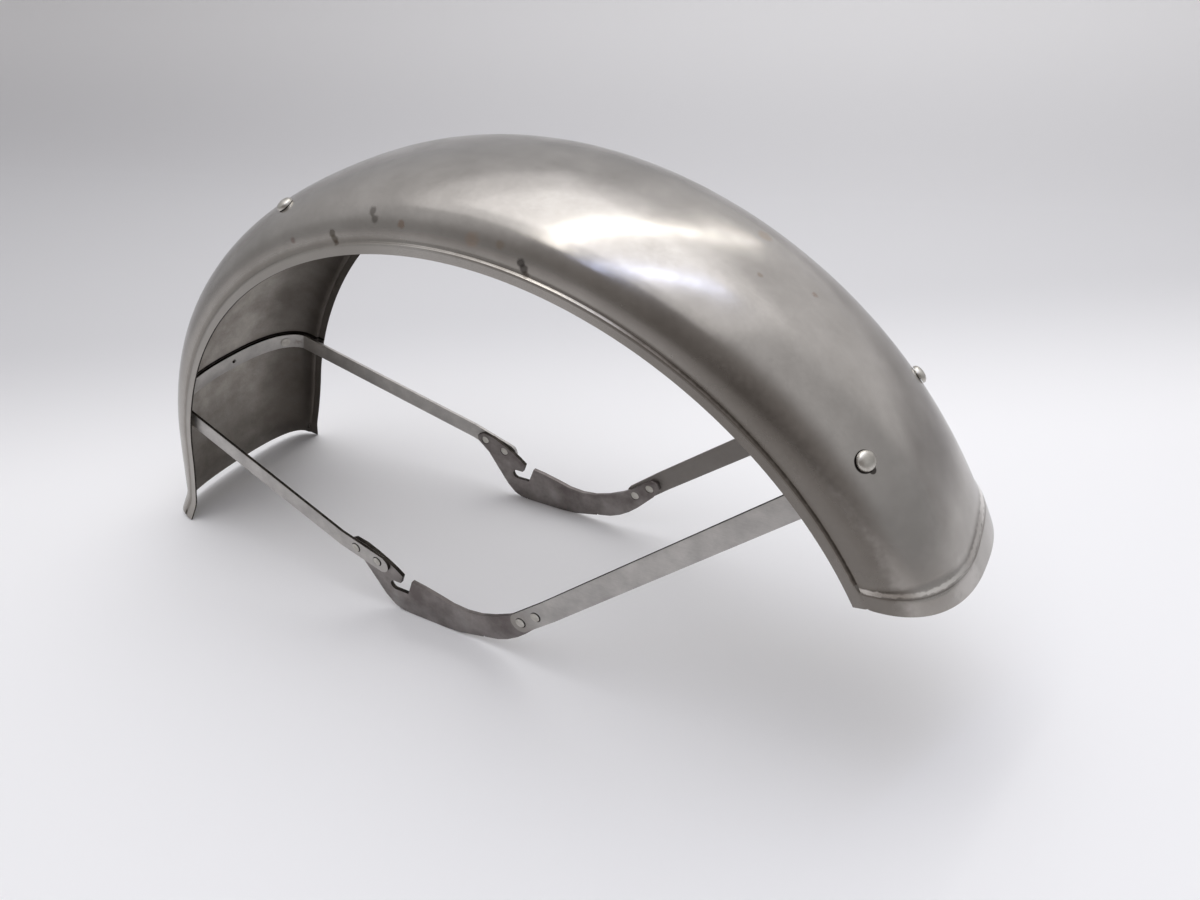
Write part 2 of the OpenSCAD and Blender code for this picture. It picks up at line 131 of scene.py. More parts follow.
def makeSteel(name, look, marks=()):
    # bare steel: two tones mottled together, a drawn grain and ripple, and dirt, painted shade and
    # painted highlights where marks say; every length here is in millimetres
    material = bpy.data.materials.new(name)
    material.use_nodes = True
    tree = material.node_tree
    tree.nodes.clear()
    place = addNode(tree, "ShaderNodeVectorMath", {"operation": "SCALE"}, {
        0: addNode(tree, "ShaderNodeTexCoord").outputs["Object"], "Scale": 1 / mm})
    cloud = addNode(tree, "ShaderNodeTexNoise", None, {
        "Vector": place, "Scale": 1 / look["mottle"], "Detail": 5.0, "Roughness": 0.6})
    tone = addNode(tree, "ShaderNodeMapRange", None, {
        "Value": cloud, "From Min": look["contrast"][0], "From Max": look["contrast"][1]})
    shade = addNode(tree, "ShaderNodeMix", {"data_type": "RGBA"}, {
        "Factor": tone,
        "A": toLinear(look["dark"]), "B": toLinear(look["light"])}).outputs["Result"]
    stretched = addNode(tree, "ShaderNodeMapping", None, {
        "Vector": place, "Scale": [1 / s for s in look["grain"]]})
    grain = addNode(tree, "ShaderNodeTexNoise", None, {
        "Vector": stretched, "Scale": 1.0, "Detail": 3.0, "Roughness": 0.6})
    streak = addNode(tree, "ShaderNodeMapRange", None, {
        "Value": grain,
        "From Min": steelNoise["streak"][0], "From Max": steelNoise["streak"][1],
        "To Min": 1 - look["streak"], "To Max": 1.0})
    shade = addNode(tree, "ShaderNodeMix", {"data_type": "RGBA", "blend_type": "MULTIPLY"}, {
        "Factor": 1.0, "A": shade, "B": streak}).outputs["Result"]
    wear = addNode(tree, "ShaderNodeTexNoise", None, {
        "Vector": place, "Scale": 1 / look["wearSize"], "Detail": 4.0, "Roughness": 0.55})
    rough = addNode(tree, "ShaderNodeMapRange", None, {
        "Value": wear, "From Min": steelNoise["wear"][0], "From Max": steelNoise["wear"][1],
        "To Min": look["roughness"][0], "To Max": look["roughness"][1]})
    ragged = addNode(tree, "ShaderNodeTexNoise", None, {
        "Vector": place, "Scale": 1 / steelNoise["ragged"], "Detail": 4.0})
    for mark in marks:
        # how far from the mark's line or ring, then a ragged soft edge
        if isinstance(mark["from"], str):
            measure = addNode(tree, "ShaderNodeAttribute", {
                "attribute_name": mark["from"]}).outputs["Fac"]
        else:
            measure = addNode(tree, "ShaderNodeVectorMath", {"operation": "DISTANCE"}, {
                0: place, 1: mark["from"]}).outputs["Value"]
        known = followRule(tree, "ShaderNodeMath", {"measure": measure, "ragged": ragged}, [
            ("offset", "SUBTRACT", "measure", float(mark.get("level", 0))),
            ("away", "ABSOLUTE", "offset"),
            ("uneven", "MULTIPLY_ADD", "ragged", -mark["wobble"], "away"),
        ])
        inner = mark["half"] - mark["wobble"] / 2
        patch = addNode(tree, "ShaderNodeMapRange", {"interpolation_type": "SMOOTHSTEP"}, {
            "Value": known["uneven"],
            "From Min": inner + mark["soft"] / 2, "From Max": inner - mark["soft"] / 2,
            "To Min": 0.0, "To Max": mark["strength"]})
        if "reach" in mark:
            side = addNode(tree, "ShaderNodeSeparateXYZ", None, {0: place})
            near, far = mark["reach"]
            kept = addNode(tree, "ShaderNodeMapRange", {"interpolation_type": "SMOOTHSTEP"}, {
                "Value": side.outputs[mark.get("axis", 0)], "From Min": near, "From Max": far})
            patch = addNode(tree, "ShaderNodeMath", {"operation": "MULTIPLY"}, {
                0: patch, 1: kept})
        shade = addNode(tree, "ShaderNodeMix", {"data_type": "RGBA"}, {
            "Factor": patch, "A": shade, "B": toLinear(mark["tint"])}).outputs["Result"]
        rough = addNode(tree, "ShaderNodeMath", {"operation": "MULTIPLY_ADD", "use_clamp": True}, {
            0: patch, 1: mark["rougher"], 2: rough})
    # the press leaves slow ripples, the rolls and the abrasive leave the fine grain
    ripple = addNode(tree, "ShaderNodeTexNoise", None, {
        "Vector": place, "Scale": 1 / look["ripple"], "Detail": 2.0})
    slow = addNode(tree, "ShaderNodeBump", None, {
        "Height": ripple, "Strength": 1.0, "Distance": look["rippleDepth"] * mm})
    relief = addNode(tree, "ShaderNodeBump", None, {
        "Height": grain, "Strength": look["relief"],
        "Distance": steelNoise["grainDepth"] * mm, "Normal": slow})
    surface = addNode(tree, "ShaderNodeBsdfPrincipled", None, {
        "Base Color": shade, "Metallic": 1.0, "Roughness": rough, "Normal": relief})
    addNode(tree, "ShaderNodeOutputMaterial", None, {"Surface": surface})
    return material


def stain(place, size, tint, strength=0.6):
    # a ragged spot left by a drop
    return {"from": place, "half": size, "wobble": size * 1.1, "soft": size * 0.8,
            "tint": tint, "strength": strength, "rougher": 0.1}


def darkerPastReach(tint, strength, reach, axis):
    # a darker tone over everything that lies past the reach, whose ends say where it fades in; on
    # the left wall's inside it is painted shade
    return {"from": (0, 0, 0), "half": 900, "wobble": 0, "soft": 1, "tint": tint,
            "strength": strength, "rougher": 0.05, "reach": reach, "axis": axis}


# cold rolled mild steel sheet, deep pressed and wiped with oil: soft broad gloss, warm grey
oiledSheetLook = {
    "dark": "#a5a19c", "light": "#b3afaa", "mottle": 30, "contrast": (0.34, 0.66),
    "grain": (2.2, 0.9, 2.2), "streak": 0.05,
    "wearSize": 26, "roughness": (0.18, 0.25), "ripple": 20, "rippleDepth": 0.05, "relief": 0.06}
# the same sheet's hollow face: never wiped, duller and browner, with drawing marks
hollowSheetLook = {
    "dark": "#a09a93", "light": "#c0bbb4", "mottle": 22, "contrast": (0.34, 0.66),
    "grain": (1.6, 1.2, 1.6), "streak": 0.1,
    "wearSize": 40, "roughness": (0.48, 0.6), "ripple": 22, "rippleDepth": 0.12, "relief": 0.4}
# sheared edges: dark, slightly torn
shearedEdgeLook = {
    "dark": "#2e2a27", "light": "#4a4540", "mottle": 6, "contrast": (0.35, 0.65),
    "grain": (0.6, 0.6, 0.6), "streak": 0.2,
    "wearSize": 8, "roughness": (0.45, 0.6), "ripple": 5, "rippleDepth": 0.03, "relief": 0.4}
# hot rolled strip, brushed along its length: cooler and lighter grey
brushedStripLook = {
    "dark": "#aeaba8", "light": "#c3c0bc", "mottle": 18, "contrast": (0.35, 0.65),
    "grain": (9, 0.5, 0.5), "streak": 0.1,
    "wearSize": 24, "roughness": (0.44, 0.54), "ripple": 16, "rippleDepth": 0.05, "relief": 0.3}
# hot rolled plate with its mill scale half worn off: dark with pale patches
scaledPlateLook = {
    "dark": "#746d6b", "light": "#9c9794", "mottle": 26, "contrast": (0.36, 0.66),
    "grain": (1.2, 1.2, 1.2), "streak": 0.06,
    "wearSize": 20, "roughness": (0.42, 0.58), "ripple": 9, "rippleDepth": 0.06, "relief": 0.35}
# cold headed rivet steel, rubbed bright on its crown
headedRivetLook = {
    "dark": "#b3afa7", "light": "#cbc8c1", "mottle": 5, "contrast": (0.35, 0.65),
    "grain": (0.7, 0.7, 0.7), "streak": 0.08,
    "wearSize": 5, "roughness": (0.28, 0.38), "ripple": 4, "rippleDepth": 0.02, "relief": 0.2}

# a mark covers what lies within half of its level, measured from a line kept on the blade or
# from a point, and fades in over its reach along an axis, X unless it says another
domeRing, domeGap = (267.0, -49.7, 209.9), (271.2, -48.9, 205.5)
bladeMarks = [
    # painted shade darkens the walls towards the border, most of it at the front, where dirt adds
    # to it
    {"from": "crease", "level": -6.5, "half": 7, "wobble": 3, "soft": 5, "tint": "#7f7971",
     "strength": 0.3, "rougher": 0.06},
    {"from": "crease", "level": -3, "half": 15, "wobble": 6, "soft": 9, "tint": "#5c564f",
     "strength": 0.64, "rougher": 0.08, "reach": (110, 215)},
    # amidships the border's face is painted paler, a painted reflection
    {"from": "creaseLine", "level": 8.5, "half": 7.0, "wobble": 1, "soft": 2, "tint": "#d6d2cd",
     "strength": 0.55, "rougher": 0.0, "reach": (160, 90)},
    # behind the crown the border and its ledge are dulled until they hardly part from the wall
    {"from": "creaseLine", "level": 4, "half": 7.5, "wobble": 2, "soft": 3, "tint": "#8b867f",
     "strength": 0.5, "rougher": 0.5, "reach": (20, -50)},
    # dark and brown specks left by drops
    stain((-23.0, -67.4, 309.6), 2.6, "#4c4741"),
    stain((-20.5, -69.4, 306.0), 2.4, "#4c4741"),
    stain((-55.4, -71.8, 293.5), 2.4, "#4f483c", 0.65),
    stain((-53.8, -72.1, 290.4), 2.4, "#4f483c", 0.65),
    stain((-52.5, -72.3, 287.6), 1.8, "#5a4a40", 0.5),
    stain((-91.0, -71.6, 283.9), 2.0, "#6b5048", 0.5),
    stain((-0.4, -70.4, 305.9), 2.4, "#80644e", 0.5),
    stain((80.4, -70.8, 295.4), 2.3, "#3c3835", 0.75),
    stain((81.9, -71.0, 292.4), 2.5, "#3c3835", 0.75),
    stain((83.4, -71.1, 289.4), 2.0, "#4a4039", 0.6),
    stain((49.0, -70.2, 304.0), 4.0, "#a88465", 0.25),
    stain((67.0, -69.7, 303.1), 2.4, "#8d7458", 0.3),
    stain((178.9, 26.3, 290.1), 4.5, "#a3845f", 0.25),
    stain((192.0, -12.3, 284.1), 1.6, "#7a6350", 0.4),
    stain((215.9, 8.1, 268.5), 1.8, "#80644e", 0.4),
    # thin broken dark lines along the border's ledge, dirt with painted shade in the crease, the
    # darkest towards the front
    {"from": "creaseLine", "level": 0.05, "half": 0.4, "wobble": 0.3, "soft": 0.4,
     "tint": "#6f6962", "strength": 0.6, "rougher": 0.1, "reach": (10, 70)},
    {"from": "creaseLine", "level": 1.3, "half": 0.5, "wobble": 0.5, "soft": 0.4, "tint": "#8b857e",
     "strength": 0.7, "rougher": 0.2, "reach": (0, 60)},
    {"from": "creaseLine", "level": 0.7, "half": 0.6, "wobble": 0.6, "soft": 0.6, "tint": "#6a635c",
     "strength": 0.8, "rougher": 0.2, "reach": (110, 160)},
    {"from": "creaseLine", "level": 0.2, "half": 0.35, "wobble": 0.9, "soft": 0.6,
     "tint": "#453e38", "strength": 0.7, "rougher": 0.2, "reach": (120, 190)},
    # the front lip: a painted highlight along its slope, a thin darker line along its foot
    {"from": "fold", "level": 12.8, "half": 1.1, "wobble": 2.6, "soft": 1.2, "tint": "#ebe7e1",
     "strength": 0.85, "rougher": -0.06},
    {"from": "fold", "level": 10.6, "half": 0.35, "wobble": 0.5, "soft": 0.5, "tint": "#5d554d",
     "strength": 0.5, "rougher": 0.15},
    # paler low on the front
    {"from": (308.0, -24.0, 128.0), "half": 21, "wobble": 8, "soft": 6, "tint": "#cbc7c3",
     "strength": 0.5, "rougher": 0.04},
    # a gap's shade round the left and lower sides of the near domed head
    {"from": domeRing, "half": 6.25, "wobble": 0.3, "soft": 0.5, "tint": "#1f1a18",
     "strength": 0.95, "rougher": 0.2},
    {"from": domeGap, "half": 2.2, "wobble": 0.5, "soft": 0.6, "tint": "#2a2422",
     "strength": 0.85, "rougher": 0.2},
]
oiledSheet = makeSteel("pressed sheet steel, oiled", oiledSheetLook, bladeMarks)
bandRing = (-6661.5, 0, -18832.6)  # far off: a ring about it runs straight along the rear band
hollowMarks = [
    # painted shade darkens the left wall's inside, the most near its border
    darkerPastReach("#4f4943", 0.72, (20, 62), 1), darkerPastReach("#38332f", 0.45, (58, 76), 1),
    # darker towards the bottom, which lies at the rear edge
    darkerPastReach("#605a53", 0.5, (115, 35), 2),
    # black shade above the rear band and brown stains below it
    {"from": bandRing, "level": 20001.3, "half": 1.1, "wobble": 0.3, "soft": 0.6, "tint": "#1c1815",
     "strength": 0.95, "rougher": 0.2, "reach": (-200, -250)},
    {"from": bandRing, "level": 19984.3, "half": 1.4, "wobble": 3.0, "soft": 1.4, "tint": "#5b4a3b",
     "strength": 0.55, "rougher": 0.1, "reach": (-200, -250)},
]
hollowSheet = makeSteel("pressed sheet steel, unwiped hollow", hollowSheetLook, hollowMarks)
shearedEdge = makeSteel("sheared steel edge", shearedEdgeLook)
stripMarks = [
    # darker where the front strips meet the plates
    *({"from": (50, y, 32), "half": 18, "wobble": 8, "soft": 24, "tint": "#868079",
       "strength": 0.6, "rougher": 0.05} for y in (-83, 83)),
    # the left front strip is darker all along
    {"from": (125, 83, 85), "half": 85, "wobble": 20, "soft": 20, "tint": "#807b76",
     "strength": 0.85, "rougher": 0.05},
    # browned where the rear band turns into its left leg
    {"from": (-272.5, 57, 110.0), "half": 8, "wobble": 7, "soft": 4, "tint": "#6b5a4c",
     "strength": 0.65, "rougher": 0.1},
]
brushedStrip = makeSteel("rolled steel strip, brushed", brushedStripLook, stripMarks)
scaledPlate = makeSteel("rolled steel plate, worn mill scale", scaledPlateLook)
headedRivet = makeSteel("headed rivet steel, rubbed", headedRivetLook)
print("materials made")


# the blade: one section swept about the wheel centre
bladeSizes = {  # millimetres and degrees, as in the solid
    "Crown radius": 339.6, "Swell": 2.0, "Swell middle": 57.0, "Swell rate": 2.4,
    "Front angle": 23.7, "Rear angle": 177.4,
    "Front sweep": 4.5, "Rear sweep": 1.068,
    "Wall front": 66.2, "Wall mid": 72.3, "Wall rear": 70.3,
    "Drop front": 40.6, "Drop mid": 35.6, "Drop rear": 33.0, "Rear taper": 15.8, "Taper run": 15.0,
    "Roundness": 2.47, "Border height": 6.7, "Border out": 2.9,
    "Front lip right": 18.0, "Front lip left": 26.0, "Front lip": 1.6,
    "Rear lip length": 24.0, "Rear lip": 5.6, "Rear edge share": 0.8,
    "Waviness": 0.35, "Dent size": 70.0, "Wheel centre X": 16.3745, "Wheel centre Z": -8.5,
    "Steps along": 400, "Steps across": 101}
sheetThickness = 1.2

tree, entry, bladeSockets = startTree("blade", bladeSizes)
grid = addNode(tree, "GeometryNodeMeshGrid", None, {
    "Size X": 1.0, "Size Y": 1.0,
    "Vertices X": entry.outputs["Steps along"], "Vertices Y": entry.outputs["Steps across"]})
flipped = addNode(tree, "GeometryNodeFlipFaces", None, {0: grid})
gridPlace = addNode(tree, "ShaderNodeSeparateXYZ", None, {
    0: addNode(tree, "GeometryNodeInputPosition")})
known = {label: entry.outputs[label] for label in bladeSizes}
known["gridX"], known["gridY"] = gridPlace.outputs[0], gridPlace.outputs[1]
sectionShare = 0.84  # part of the grid's width that the section takes; the borders share the rest
ledgeRows = 0.5  # the share of a border's rows that lies on its narrow ledge
ledgeAt, ledgeOut = 0.16, 0.62  # the ledge's share of the border's height and of its reach outwards
lipTurn = 50.0  # the front lip changes its width over this much of the middle
lipMarks = 16.0  # the lip width that the fold's marks are measured on
lipStep = 0.375  # the share of the front lip that its step takes
rearBendShare = 0.5  # the share of the rear lip that bends; the rest runs straight
ledgeFade = 0.55  # how much of the rear lip's fading is over at the end of the ledge
foldShift, ledgeShift = 40.0, -500.0  # part the lip's marks from the border's
followRule(tree, "ShaderNodeMath", known, [
    ("along", "ADD", "gridX", 0.5),
    ("side", "SIGN", "gridY"),
    ("across", "ABSOLUTE", "gridY"),
    ("quarter", "DIVIDE", "across", sectionShare / 2),
    ("quarterCut", "MINIMUM", "quarter", 1.0),
    ("turn", "MULTIPLY", "quarterCut", math.pi / 2),
    ("past", "SUBTRACT", "across", sectionShare / 2),
    ("pastShare", "DIVIDE", "past", 0.5 - sectionShare / 2),
    ("borderRows", "MAXIMUM", "pastShare", 0.0),
    ("rowsNear", "MINIMUM", "borderRows", ledgeRows),
    ("rowsFar", "SUBTRACT", "borderRows", "rowsNear"),
    ("onLedge", "DIVIDE", "rowsNear", ledgeRows),
    ("belowLedge", "DIVIDE", "rowsFar", 1 - ledgeRows),
    ("ledgeFall", "MULTIPLY", "onLedge", ledgeAt),
    ("border", "MULTIPLY_ADD", "belowLedge", 1 - ledgeAt, "ledgeFall"),
    ("sine", "SINE", "turn"),
    ("cosine", "COSINE", "turn"),
    ("cosineCut", "MAXIMUM", "cosine", 0.0),
    ("power", "DIVIDE", 2.0, "Roundness"),
    ("sinePower", "POWER", "sine", "power"),
    ("cosinePower", "POWER", "cosineCut", "power"),
    ("span", "SUBTRACT", "Rear angle", "Front angle"),
    ("angle", "MULTIPLY_ADD", "along", "span", "Front angle"),
    # half width from three stations
    ("run", "MULTIPLY_ADD", "along", 2.0, -1.0),
    ("runSquare", "MULTIPLY", "run", "run"),
    ("wallSlope", "SUBTRACT", "Wall rear", "Wall front"),
    ("wallSlopeHalf", "MULTIPLY", "wallSlope", 0.5),
    ("wallEnds", "ADD", "Wall front", "Wall rear"),
    ("wallBow", "MULTIPLY", "wallEnds", 0.5),
    ("wallBend", "SUBTRACT", "wallBow", "Wall mid"),
    ("wallLinear", "MULTIPLY_ADD", "wallSlopeHalf", "run", "Wall mid"),
    ("halfWidth", "MULTIPLY_ADD", "wallBend", "runSquare", "wallLinear"),
    # drop of the walls from three stations, less the rear taper
    ("dropLast", "SUBTRACT", "Rear angle", "Taper run"),
    ("dropSpan", "SUBTRACT", "dropLast", "Front angle"),
    ("fromFront", "SUBTRACT", "angle", "Front angle"),
    ("dropShare", "DIVIDE", "fromFront", "dropSpan"),
    ("dropRunFree", "MULTIPLY_ADD", "dropShare", 2.0, -1.0),
    ("dropRun", "MINIMUM", "dropRunFree", 1.0),
    ("dropRunSquare", "MULTIPLY", "dropRun", "dropRun"),
    ("dropSlope", "SUBTRACT", "Drop rear", "Drop front"),
    ("dropSlopeHalf", "MULTIPLY", "dropSlope", 0.5),
    ("dropEnds", "ADD", "Drop front", "Drop rear"),
    ("dropBow", "MULTIPLY", "dropEnds", 0.5),
    ("dropBend", "SUBTRACT", "dropBow", "Drop mid"),
    ("dropLinear", "MULTIPLY_ADD", "dropSlopeHalf", "dropRun", "Drop mid"),
    ("dropPlain", "MULTIPLY_ADD", "dropBend", "dropRunSquare", "dropLinear"),
    ("intoTaper", "SUBTRACT", "angle", "dropLast"),
    ("taperShare", "DIVIDE", "intoTaper", "Taper run"),
    ("taperCut", "MAXIMUM", "taperShare", 0.0),
    ("taperSquare", "MULTIPLY", "taperCut", "taperCut"),
    ("taperLoss", "MULTIPLY", "Rear taper", "taperSquare"),
    ("drop", "SUBTRACT", "dropPlain", "taperLoss"),
    # crown radius with its slow swell
    ("swellFrom", "SUBTRACT", "angle", "Swell middle"),
    ("swellTurn", "MULTIPLY", "swellFrom", "Swell rate"),
    ("swellRadians", "RADIANS", "swellTurn"),
    ("swellCosine", "COSINE", "swellRadians"),
    ("crown", "MULTIPLY_ADD", "Swell", "swellCosine", "Crown radius"),
    # the border steps out over a narrow ledge, then runs down almost upright
    ("onLedgeSquare", "MULTIPLY", "onLedge", "onLedge"),
    ("onLedgeBlend", "MULTIPLY_ADD", "onLedge", -2.0, 3.0),
    ("onLedgeEased", "MULTIPLY", "onLedgeSquare", "onLedgeBlend"),
    ("ledgePlace", "MULTIPLY", "onLedgeEased", ledgeOut),
    ("borderShare", "MULTIPLY_ADD", "belowLedge", 1 - ledgeOut, "ledgePlace"),
    ("borderPlace", "MULTIPLY", "borderShare", "Border out"),
    ("sectionY", "MULTIPLY_ADD", "halfWidth", "sinePower", "borderPlace"),
    ("placeY", "MULTIPLY", "sectionY", "side"),
    ("sink", "SUBTRACT", 1.0, "cosinePower"),
    ("sectionDrop", "MULTIPLY", "drop", "sink"),
    ("fall", "MULTIPLY_ADD", "border", "Border height", "sectionDrop"),
    ("radius", "SUBTRACT", "crown", "fall"),
    # the ends are swept: the borders start later than the crown
    ("deepest", "ADD", "drop", "Border height"),
    ("depthShare", "DIVIDE", "fall", "deepest"),
    ("sweepGain", "SUBTRACT", "Rear sweep", "Front sweep"),
    ("spanHere", "MULTIPLY_ADD", "sweepGain", "depthShare", "span"),
    ("startHere", "MULTIPLY_ADD", "Front sweep", "depthShare", "Front angle"),
    ("angleHere", "MULTIPLY_ADD", "spanHere", "along", "startHere"),
    ("radians", "RADIANS", "angleHere"),
    ("directionX", "COSINE", "radians"),
    ("directionZ", "SINE", "radians"),
    ("placeX", "MULTIPLY_ADD", "radius", "directionX", "Wheel centre X"),
    ("placeZ", "MULTIPLY_ADD", "radius", "directionZ", "Wheel centre Z"),
    ("metresX", "MULTIPLY", "placeX", mm),
    ("metresY", "MULTIPLY", "placeY", mm),
    ("metresZ", "MULTIPLY", "placeZ", mm),
    # lips: the front one steps out and runs level, the rear one flares
    ("arc", "MULTIPLY", "Crown radius", math.pi / 180),
    ("frontRun", "MULTIPLY", "fromFront", "arc"),
    # the lip is wider on the left half
    ("acrossFree", "MULTIPLY_ADD", "placeY", 1 / lipTurn, 0.5),
    ("acrossLow", "MAXIMUM", "acrossFree", 0.0),
    ("acrossCut", "MINIMUM", "acrossLow", 1.0),
    ("acrossSquare", "MULTIPLY", "acrossCut", "acrossCut"),
    ("acrossBlend", "MULTIPLY_ADD", "acrossCut", -2.0, 3.0),
    ("acrossEased", "MULTIPLY", "acrossSquare", "acrossBlend"),
    ("lipGain", "SUBTRACT", "Front lip left", "Front lip right"),
    ("lipWidth", "MULTIPLY_ADD", "lipGain", "acrossEased", "Front lip right"),
    ("frontShare", "DIVIDE", "frontRun", "lipWidth"),
    # for the marks: how far from the end, as on a lip of one width, and none on the border
    ("foldPlain", "MULTIPLY", "frontShare", lipMarks),
    ("fold", "MULTIPLY_ADD", "onLedge", foldShift, "foldPlain"),
    ("frontInto", "SUBTRACT", 1.0, "frontShare"),
    ("frontWide", "DIVIDE", "frontInto", lipStep),
    ("frontStep", "MAXIMUM", "frontWide", 0.0),
    ("frontStepCut", "MINIMUM", "frontStep", 1.0),
    ("frontSquare", "MULTIPLY", "frontStepCut", "frontStepCut"),
    ("frontBlend", "MULTIPLY_ADD", "frontStepCut", -2.0, 3.0),
    ("frontRise", "MULTIPLY", "frontSquare", "frontBlend"),
    ("frontLift", "MULTIPLY", "frontRise", "Front lip"),
    ("toRear", "SUBTRACT", "Rear angle", "angle"),
    ("rearRun", "MULTIPLY", "toRear", "arc"),
    ("rearShare", "DIVIDE", "rearRun", "Rear lip length"),
    ("rearIntoFree", "SUBTRACT", 1.0, "rearShare"),
    ("rearInto", "MAXIMUM", "rearIntoFree", 0.0),
    ("rearFirst", "MINIMUM", "rearInto", rearBendShare),
    ("rearRest", "SUBTRACT", "rearInto", "rearFirst"),
    ("rearBend", "MULTIPLY", "rearFirst", "rearFirst"),
    ("rearRise", "ADD", "rearBend", "rearRest"),
    ("rearScaled", "DIVIDE", "rearRise", rearBendShare ** 2 + 1 - rearBendShare),
    ("rearLift", "MULTIPLY", "rearScaled", "Rear lip"),
    # the front lip ends at the border's ledge, the rear one fades over the border
    ("frontKeep", "SUBTRACT", 1.0, "onLedgeEased"),
    ("fadeNear", "MULTIPLY", "onLedge", ledgeFade),
    ("fade", "MULTIPLY_ADD", "belowLedge", 1 - ledgeFade, "fadeNear"),
    ("rearLoss", "SUBTRACT", 1.0, "Rear edge share"),
    ("rearFade", "MULTIPLY", "fade", "rearLoss"),
    ("rearKeep", "SUBTRACT", 1.0, "rearFade"),
    ("frontOut", "MULTIPLY", "frontLift", "frontKeep"),
    ("lipOut", "MULTIPLY_ADD", "rearLift", "rearKeep", "frontOut"),
    # how far a point is past the fold of the border
    ("crease", "SUBTRACT", "fall", "drop"),
    ("creaseLine", "MULTIPLY_ADD", "frontStepCut", ledgeShift, "crease"),
])
# kept on the points, because the next step moves them: the lip, and what the dirt, painted shade
# and painted highlight follow
kept = flipped
for label in ("lipOut", "crease", "creaseLine", "fold"):
    kept = addNode(tree, "GeometryNodeStoreNamedAttribute", {
        "data_type": "FLOAT", "domain": "POINT"}, {
        "Geometry": kept, "Name": label, "Value": known[label]})
swept = addNode(tree, "GeometryNodeSetPosition", None, {
    "Geometry": kept,
    "Position": addNode(tree, "ShaderNodeCombineXYZ", None, {
        0: known["metresX"], 1: known["metresY"], 2: known["metresZ"]})})
# pressed sheet is never quite fair: slow shallow dents
followRule(tree, "ShaderNodeMath", known, [
    ("dentMetres", "MULTIPLY", "Dent size", mm),
    ("dentScale", "DIVIDE", 1.0, "dentMetres"),
])
dents = addNode(tree, "ShaderNodeTexNoise", {"noise_dimensions": "4D"}, {
    "Vector": addNode(tree, "GeometryNodeInputPosition"),
    "W": 4.0, "Scale": known["dentScale"], "Detail": 1.0})
known["dents"] = dents
known["lipKept"] = addNode(tree, "GeometryNodeInputNamedAttribute", {
    "data_type": "FLOAT"}, {"Name": "lipOut"})
followRule(tree, "ShaderNodeMath", known, [
    ("dentDepth", "SUBTRACT", "dents", 0.5),
    ("stand", "MULTIPLY_ADD", "dentDepth", "Waviness", "lipKept"),
    ("standMetres", "MULTIPLY", "stand", mm),
])
pushed = addNode(tree, "ShaderNodeVectorMath", {"operation": "SCALE"}, {
    0: addNode(tree, "GeometryNodeInputNormal"), "Scale": known["standMetres"]})
lipped = addNode(tree, "GeometryNodeSetPosition", None, {
    "Geometry": swept, "Offset": pushed})
endTree(tree, lipped, oiledSheet)

bladeHost = addObject("bladeHost", bpy.data.meshes.new("bladeHost"))
blade = grow(tree, bladeSockets, {}, bladeHost, "blade")
blade.data.materials.append(hollowSheet)
blade.data.materials.append(shearedEdge)
wall = blade.modifiers.new("wall", "SOLIDIFY")
wall.thickness = sheetThickness * mm
wall.offset = -1
wall.material_offset = 1
wall.material_offset_rim = 2
blade = settle(blade, "blade")
softShade(blade, 50)
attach(blade, "root")
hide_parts("guard_blade")
print("blade swept", len(blade.data.polygons), "faces")


# where things lie on the skin, for the bands and rivets
skinProbe = 0.5  # degrees to either side, for the skin's lean


def skinPoint(turn, angle):
    # across and radius in millimetres, for a turn of -90 to 90 degrees round the section
    s = bladeSizes
    along = (angle - s["Front angle"]) / (s["Rear angle"] - s["Front angle"])
    bend = lambda a, b, c, t: b + (c - a) / 2 * t + ((a + c) / 2 - b) * t * t
    width = bend(s["Wall front"], s["Wall mid"], s["Wall rear"], 2 * along - 1)
    level = (angle - s["Front angle"]) / (s["Rear angle"] - s["Taper run"] - s["Front angle"])
    drop = bend(s["Drop front"], s["Drop mid"], s["Drop rear"], min(2 * level - 1, 1))
    swell = math.cos(math.radians(s["Swell rate"] * (angle - s["Swell middle"])))
    crown = s["Crown radius"] + s["Swell"] * swell
    power = 2 / s["Roundness"]
    sine, cosine = math.sin(math.radians(turn)), max(math.cos(math.radians(turn)), 0)
    across = math.copysign(width * abs(sine) ** power, sine)
    return Vector((across, crown - drop * (1 - cosine ** power)))


def skinSeat(across, angle, turn=0.0):
    # a frame on the outer skin, Z outwards; halving finds the turn that lies this far across
    s = bladeSizes
    side = math.copysign(1, across)
    low, high = 0.0, 90.0
    for halving in range(40):
        middle = (low + high) / 2
        low, high = (middle, high) if skinPoint(middle, angle).x < abs(across) else (low, middle)
    near, far = skinPoint(low - skinProbe, angle), skinPoint(low + skinProbe, angle)
    lean = math.atan2(near.y - far.y, far.x - near.x)
    height = skinPoint(low, angle).y
    return (Matrix.Translation(Vector((s["Wheel centre X"], 0, s["Wheel centre Z"])) * mm)
            @ Matrix.Rotation(math.radians(-angle), 4, "Y")
            @ Matrix.Translation((height * mm, across * mm, 0))
            @ Matrix.Rotation(math.radians(90 - turn), 4, "Y")
            @ Matrix.Rotation(-side * lean, 4, "X"))


